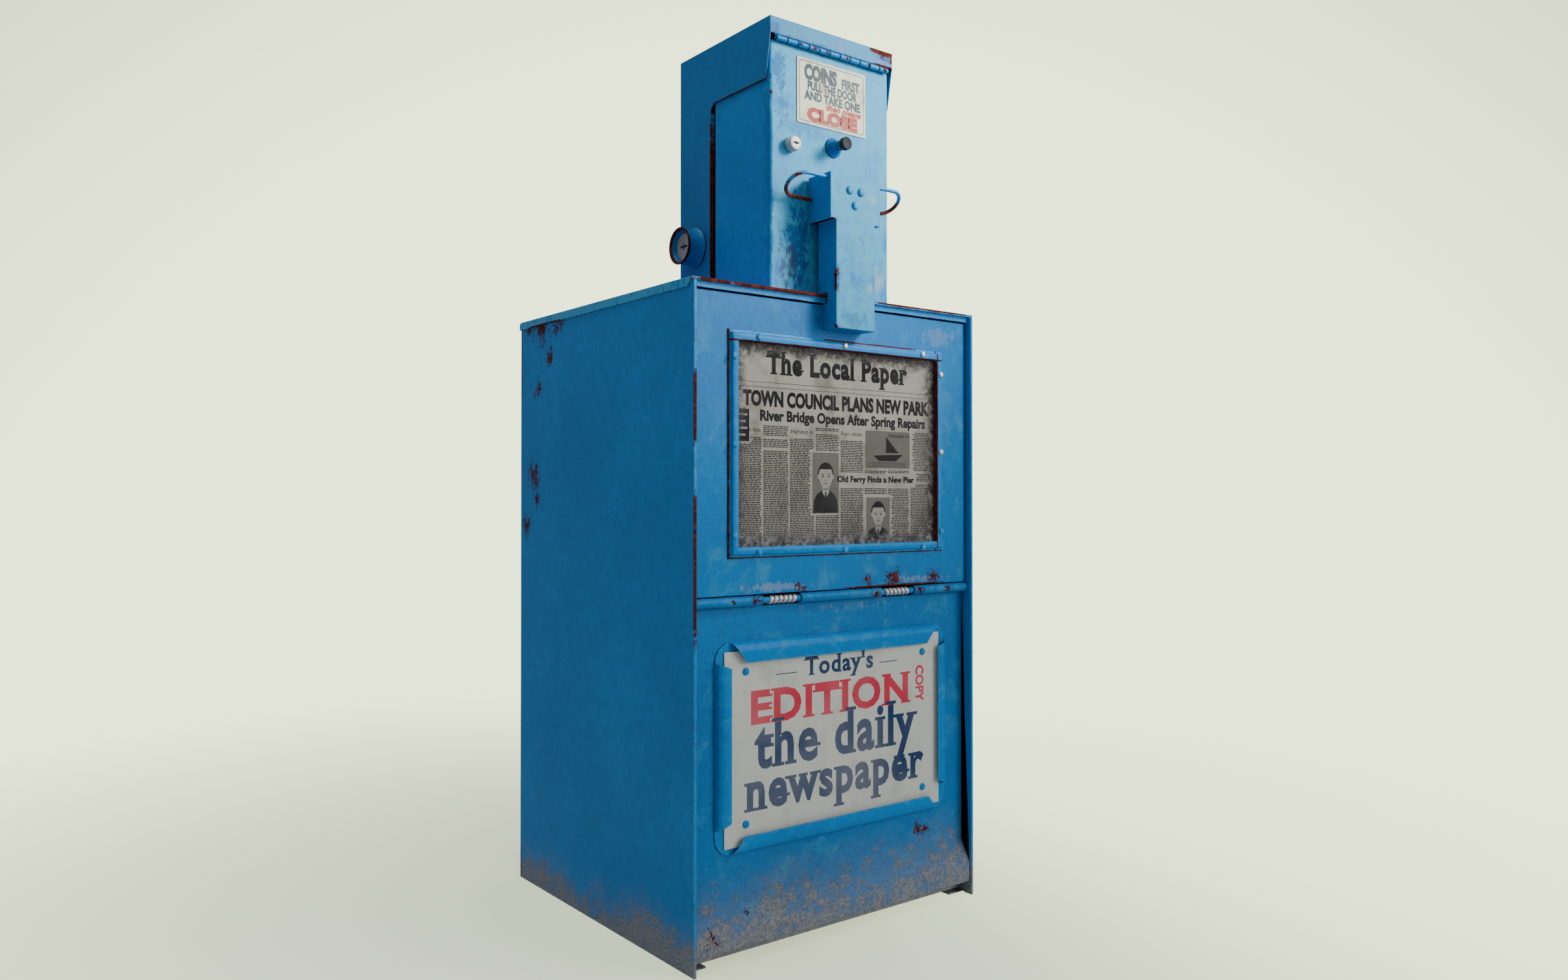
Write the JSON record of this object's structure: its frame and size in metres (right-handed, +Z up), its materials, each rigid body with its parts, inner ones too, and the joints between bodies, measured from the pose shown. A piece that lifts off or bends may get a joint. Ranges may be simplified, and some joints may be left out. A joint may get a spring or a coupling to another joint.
{
  "type": "newspaper vending box",
  "caption": "Folded-steel newspaper vending box with a sprung drop-down window door, a pull handle, a display card frame and a coin head under a lift-up hood.",
  "frame": {"origin": "middle of the overall box at floor level", "axes": "+Z up, -Y towards the buyer (the door's side), +X the buyer's right"},
  "size_m": [0.514, 0.5268, 1.2625],
  "materials": {
    "blue_paint": "satin",
    "pale_blue_paint": "satin",
    "bare_steel": "satin",
    "rusty_steel": "matte",
    "galvanised_steel": "satin",
    "cast_alloy": "matte",
    "card_stock": "matte",
    "newsprint": "matte",
    "acrylic": "gloss",
    "cream_plate": "satin",
    "dark_plastic": "satin"
  },
  "bodies": {
    "cabinet": {"cabinet_back": "blue_paint", "cabinet_base": "galvanised_steel", "cabinet_left_side": "blue_paint", "cabinet_lid": "blue_paint", "cabinet_right_side": "blue_paint", "card_frame": "blue_paint", "card_stud_1": "blue_paint", "card_stud_2": "blue_paint", "card_stud_3": "blue_paint", "card_stud_4": "blue_paint", "coin_chute": "galvanised_steel", "coin_mechanism": "cast_alloy", "coin_return_bezel": "blue_paint", "coin_tray": "galvanised_steel", "door_spring_left": "bare_steel", "door_spring_right": "bare_steel", "front_lock_body": "bare_steel", "head_front_box": "pale_blue_paint", "head_hinge_lower_leaf": "rusty_steel", "head_hinge_pin": "rusty_steel", "hinge_rod": "blue_paint", "hinge_tube_left": "blue_paint", "hinge_tube_right": "blue_paint", "instruction_plate": "cream_plate", "lock_keeper": "galvanised_steel", "lower_front_panel": "blue_paint", "paper_shelf": "galvanised_steel", "rack_card": "card_stock"},
    "door": {"door_panel": "blue_paint", "window_frame": "blue_paint", "window_pane": "acrylic", "display_newspaper": "newsprint", "display_holder": "galvanised_steel", "hinge_tube_centre": "blue_paint", "handle_bracket": "pale_blue_paint", "handle_rivet_1": "pale_blue_paint", "handle_rivet_2": "pale_blue_paint", "handle_rivet_3": "pale_blue_paint", "pull_loop_left": "rusty_steel", "pull_loop_right": "rusty_steel", "door_striker": "galvanised_steel", "window_rivet_01": "blue_paint", "window_rivet_02": "bare_steel", "window_rivet_03": "bare_steel", "window_rivet_04": "bare_steel", "window_rivet_05": "bare_steel", "window_rivet_06": "blue_paint", "window_rivet_07": "blue_paint", "window_rivet_08": "blue_paint", "window_rivet_09": "blue_paint", "window_rivet_10": "blue_paint", "window_rivet_11": "blue_paint", "window_rivet_12": "blue_paint"},
    "hood": {"head_hood": "blue_paint", "head_hinge_upper_leaf": "rusty_steel", "side_lock_guard": "blue_paint"},
    "side_lock": {"side_lock_plug": "bare_steel"},
    "front_lock": {"front_lock_plug": "bare_steel"},
    "coin_return": {"coin_return_button": "dark_plastic"},
    "pawl": {"latch_pawl": "galvanised_steel"}
  },
  "joints": [
    {"name": "door_swing", "type": "hinge", "parent": "cabinet", "child": "door", "pos_m": [0, -0.22765, 0.469], "axis": [1, 0, 0], "range_deg": [0, 85], "stiffness_Nm_per_rad": 8, "springref_deg": -20.05},
    {"name": "hood_lift", "type": "hinge", "parent": "cabinet", "child": "hood", "pos_m": [0, -0.21265, 1.234], "axis": [1, 0, 0], "range_deg": [0, 100]},
    {"name": "side_lock_turn", "type": "hinge", "parent": "hood", "child": "side_lock", "pos_m": [-0.1135, -0.02865, 0.9755], "axis": [-1, 0, 0], "range_deg": [0, 90]},
    {"name": "front_lock_turn", "type": "hinge", "parent": "cabinet", "child": "front_lock", "pos_m": [-0.075, -0.20765, 1.093], "axis": [0, 1, 0], "range_deg": [0, 90]},
    {"name": "coin_return_press", "type": "slide", "parent": "cabinet", "child": "coin_return", "axis": [0, 1, 0], "range_m": [0, 0.006], "stiffness_N_per_m": 150, "springref_m": -0.004},
    {"name": "latch_pawl_drop", "type": "hinge", "parent": "cabinet", "child": "pawl", "pos_m": [0, -0.17465, 1.032], "axis": [1, 0, 0], "range_deg": [0, 12], "stiffness_Nm_per_rad": 0.02, "springref_deg": -5.73}
  ]
}
